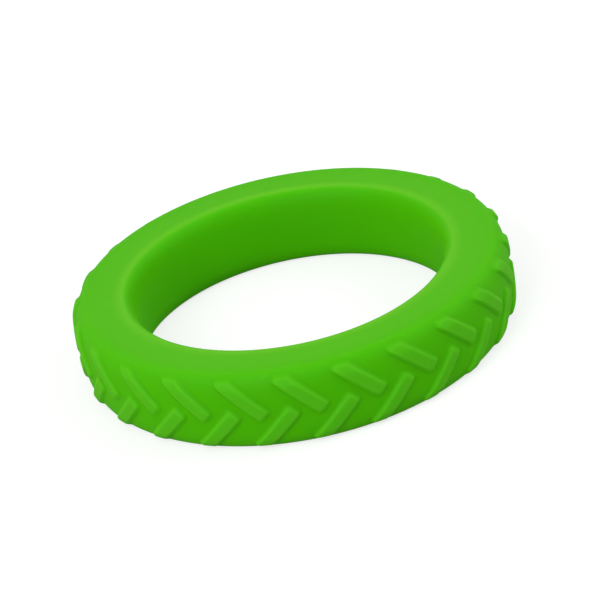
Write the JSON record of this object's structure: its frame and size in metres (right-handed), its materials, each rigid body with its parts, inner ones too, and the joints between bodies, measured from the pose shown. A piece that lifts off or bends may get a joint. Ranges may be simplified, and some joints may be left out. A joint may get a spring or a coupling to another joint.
{
  "type": "silicone ring",
  "caption": "Thick soft silicone ring with flat sides, a smooth crowned bore and staggered rows of slanting raised tread bars round its outer face.",
  "frame": {"origin": "middle of the underside, on the ring's axis", "axes": "+Z is the ring's axis, pointing up as it lies on its side; the whole outline is 24-fold round +Z, so X and Y are interchangeable"},
  "size_m": [0.0808, 0.0808, 0.0148],
  "materials": {
    "silicone": "matt bright green silicone, very slightly translucent"
  },
  "bodies": {
    "root": {"tread_ring": "silicone"}
  },
  "joints": []
}
